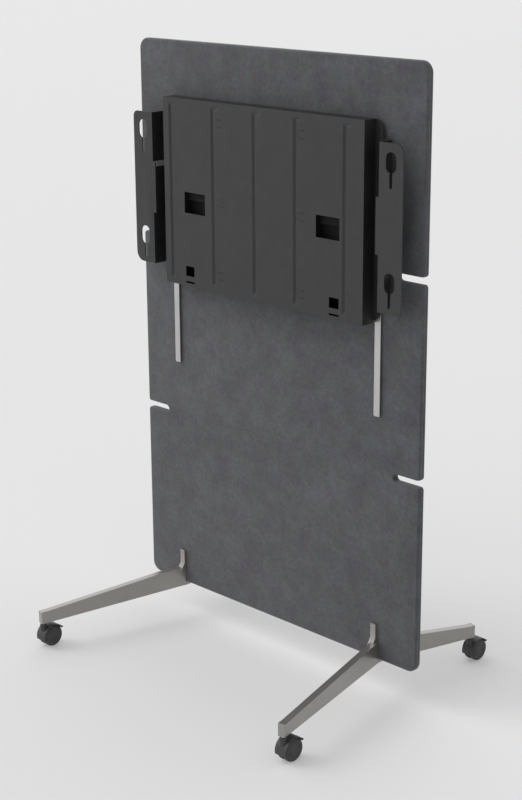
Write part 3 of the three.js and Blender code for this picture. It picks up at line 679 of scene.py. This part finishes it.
def build_wheel(castor, side, axle):
    """Domed twin-wheel half: soft tread shoulder, a fine ring and a dished cap."""
    edge, face = WHEEL_RADIUS, WHEEL_WIDTH
    profile = [(0.0, 0.0)] + [(along, edge - depth) for along, depth in WHEEL_HEM]
    for i in range(13):
        angle = math.pi / 2 * i / 12
        profile.append((
            face - SHOULDER_WIDTH * (1 - math.sin(angle)),
            edge - SHOULDER_RADIUS * (1 - math.cos(angle)),
        ))
    cap = edge - SHOULDER_RADIUS
    profile += [(face - depth, cap - inside) for depth, inside in CAP_RING]
    profile += [(face - depth, radius) for depth, radius in CAP_DISH]
    sign = SIDES[side]
    turned = [(sign * (WHEEL_INNER_X + along), radius) for along, radius in profile]
    wheel = Solid().turned(turned, axle, "x", 96).build(f"{castor}_wheel_{side}_turned", 40)
    node = f"{castor}_wheel_{side}"
    dress(wheel, TREAD, body_of(node), "castor_tread", node)


def hood_section(shrink=0.0):
    """Rounded rectangle across the hood: (x, radius) pairs."""
    half = HOOD_HALF_WIDTH - shrink
    inner, outer = HOOD_INNER + shrink, HOOD_OUTER - shrink
    corner = HOOD_CORNER - shrink * 0.6
    points = arc((half - corner, outer - corner), corner, 0, 90, 4)
    points += arc((corner - half, outer - corner), corner, 90, 180, 4)
    points += arc((corner - half, inner + corner), corner, 180, 270, 4)
    points += arc((half - corner, inner + corner), corner, 270, 360, 4)
    return points


def build_hood(castor, axle, stem_top):
    """Curved hood over both treads, with the web between the wheels and the neck for the stem."""
    hood = Solid()
    end = math.degrees(HOOD_END / HOOD_OUTER)
    stations = [(HOOD_REAR, HOOD_END), (HOOD_REAR + end, HOOD_END_INNER)]
    stations += [(HOOD_REAR + 2 * end + (HOOD_FRONT - HOOD_REAR - 4 * end) * i / 44, 0.0)
                 for i in range(45)]
    stations += [(HOOD_FRONT - end, HOOD_END_INNER), (HOOD_FRONT, HOOD_END)]
    hood.rings([
        [around(axle, radius, degrees, x) for x, radius in hood_section(shrink)]
        for degrees, shrink in stations
    ])
    outline = [(HOOD_INNER + 0.001, HOOD_REAR + (HOOD_FRONT - HOOD_REAR) * i / 40)
               for i in range(41)]
    lobe_from, lobe_to = HOOD_FRONT + WEB_WAIST, HOOD_REAR + 360 - WEB_WAIST
    outline += [(WEB_LOBE, lobe_from + (lobe_to - lobe_from) * i / 20) for i in range(21)]
    rings = []
    for x, scale in ((-1, 0.0), (-1, 1.0), (1, 1.0), (1, 0.0)):
        rings.append([around(axle, radius * scale, degrees, x * WEB_HALF_WIDTH)
                      for radius, degrees in outline])
    hood.rings(rings, caps=False)
    foot = axle.z + HOOD_INNER * NECK_FOOT
    neck = [(foot, 0.0), (foot, NECK_RADIUS + 0.0012)]
    neck += [(stem_top - below, NECK_RADIUS + extra) for below, extra in NECK_PROFILE]
    neck.append((stem_top - NECK_PROFILE[-1][0], 0.0))
    hood.turned(neck, (axle.x, axle.y - TRAIL, 0.0), "z", 48)
    node = f"{castor}_hood"
    piece = hood.build(f"{castor}_hood_moulded", 40)
    dress(piece, HOOD, body_of(node), "castor_plastic", node)


def build_stem(castor, axle, stem_top, stem_end):
    """Plated pin with its collar, up to the underside of the arm and on into it."""
    low, high = stem_top - COLLAR_HEIGHT, stem_top - COLLAR_EDGE
    inner, edge = COLLAR_RADIUS - COLLAR_EDGE, COLLAR_EDGE
    profile = [
        (STEM_LOW, 0.0), (STEM_LOW, STEM_RADIUS), (low, STEM_RADIUS),
        (low, inner), (low + edge, COLLAR_RADIUS), (high - edge, COLLAR_RADIUS), (high, inner),
        (high, STEM_RADIUS), (stem_end, STEM_RADIUS), (stem_end, 0.0),
    ]
    stem = Solid().turned(profile, (axle.x, axle.y - TRAIL, 0.0), "z", 40)
    node = f"{castor}_stem"
    dress(stem.build(f"{castor}_stem_turned", 40), ZINC, body_of(node), "zinc_fasteners", node)


def build_castors():
    for castor in CASTORS:
        low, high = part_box(f"{castor}_axle")
        axle = (low + high) / 2
        _, stem_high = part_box(f"{castor}_stem")
        stem_top = stem_high.z - STEM_IN_ARM
        for side in SIDES:
            build_wheel(castor, side, axle)
        build_hood(castor, axle, stem_top)
        build_stem(castor, axle, stem_top, stem_high.z)
        refined(f"{castor}_brake", HOOD, "castor_plastic", BRAKE_EDGE, 3)
        paint(f"{castor}_axle", ZINC)


# ---------------------------------------------------------------- stage, light and camera

FLOOR_HALF_WIDTH = 90.0
FLOOR_GLOW = 0.235                    # keeps the floor pale without washing out the shadows
SKY_LEFT, SKY_RIGHT = 1.40, 0.56      # brightness of the surroundings on either side
KEY_TOWARDS = (-0.64, -0.40, 0.66)
KEY_STRENGTH = 0.70
KEY_SOFTNESS = 30                     # degrees
CAMERA_PLACE = (3.1075, -3.0924, 2.0845)
CAMERA_TURN = 45.203                  # degrees from facing the mount side
CAMERA_PITCH = 16.882                 # degrees down
CAMERA_ROLL = -0.371                  # degrees
CAMERA_LENS, CAMERA_SENSOR = 75.52, 36.0         # millimetres

def build_stage():
    half = FLOOR_HALF_WIDTH
    corners = [(-half, -half, 0), (half, -half, 0), (half, half, 0), (-half, half, 0)]
    floor = new_object("floor", mesh_from("floor", corners, [(0, 1, 2, 3)]))
    made = Nodes("pale_floor", gray(0.52), 0.7)
    made.set("Specular IOR Level", 0.1)
    made.set("Emission Color", (1.0, 1.0, 1.0, 1.0))
    made.set("Emission Strength", FLOOR_GLOW)
    floor.data.materials.append(made.finish())


def sun_light(name, towards, strength, softness):
    """Light from far away that comes from a direction; softness is its width in degrees."""
    data = bpy.data.lights.new(name, "SUN")
    data.energy = strength
    data.angle = math.radians(softness)
    light = bpy.data.objects.new(name, data)
    light.rotation_mode = "QUATERNION"
    light.rotation_quaternion = Vector(towards).to_track_quat("Z", "Y")
    bpy.context.scene.collection.objects.link(light)


def build_light():
    """Even studio light, brighter from the left, with a soft high key from the front left."""
    world = bpy.data.worlds.new("studio")
    world.use_nodes = True
    tree = world.node_tree
    direction = tree.nodes.new("ShaderNodeTexCoord").outputs["Generated"]
    parts = tree.nodes.new("ShaderNodeSeparateXYZ")
    tree.links.new(direction, parts.inputs["Vector"])
    across = tree.nodes.new("ShaderNodeMapRange")
    across.inputs["From Min"].default_value = -1.0
    across.inputs["From Max"].default_value = 0.6
    across.inputs["To Min"].default_value = SKY_LEFT
    across.inputs["To Max"].default_value = SKY_RIGHT
    tree.links.new(parts.outputs["X"], across.inputs["Value"])
    background = tree.nodes["Background"]
    background.inputs["Color"].default_value = (1.0, 1.0, 1.0, 1.0)
    tree.links.new(across.outputs["Result"], background.inputs["Strength"])
    bpy.context.scene.world = world
    sun_light("key", KEY_TOWARDS, KEY_STRENGTH, KEY_SOFTNESS)
    bpy.context.scene.view_settings.view_transform = "Standard"


def build_camera():
    """Seen from the front right and slightly above."""
    turn = math.radians(CAMERA_TURN)
    pitch = math.radians(CAMERA_PITCH)
    roll = math.radians(CAMERA_ROLL)
    data = bpy.data.cameras.new("camera")
    data.sensor_width = CAMERA_SENSOR
    data.lens = CAMERA_LENS
    data.clip_start = 0.05
    data.clip_end = 400.0
    camera = bpy.data.objects.new("camera", data)
    forward = Vector((
        -math.sin(turn) * math.cos(pitch), math.cos(turn) * math.cos(pitch), -math.sin(pitch),
    ))
    camera.location = CAMERA_PLACE
    camera.rotation_mode = "QUATERNION"
    camera.rotation_quaternion = forward.to_track_quat("-Z", "Y") @ Quaternion((0, 0, 1), roll)
    bpy.context.scene.collection.objects.link(camera)
    bpy.context.scene.camera = camera


build_camera()
build_light()
build_stage()
build_panel()
build_metalwork()
build_fasteners()
build_castors()
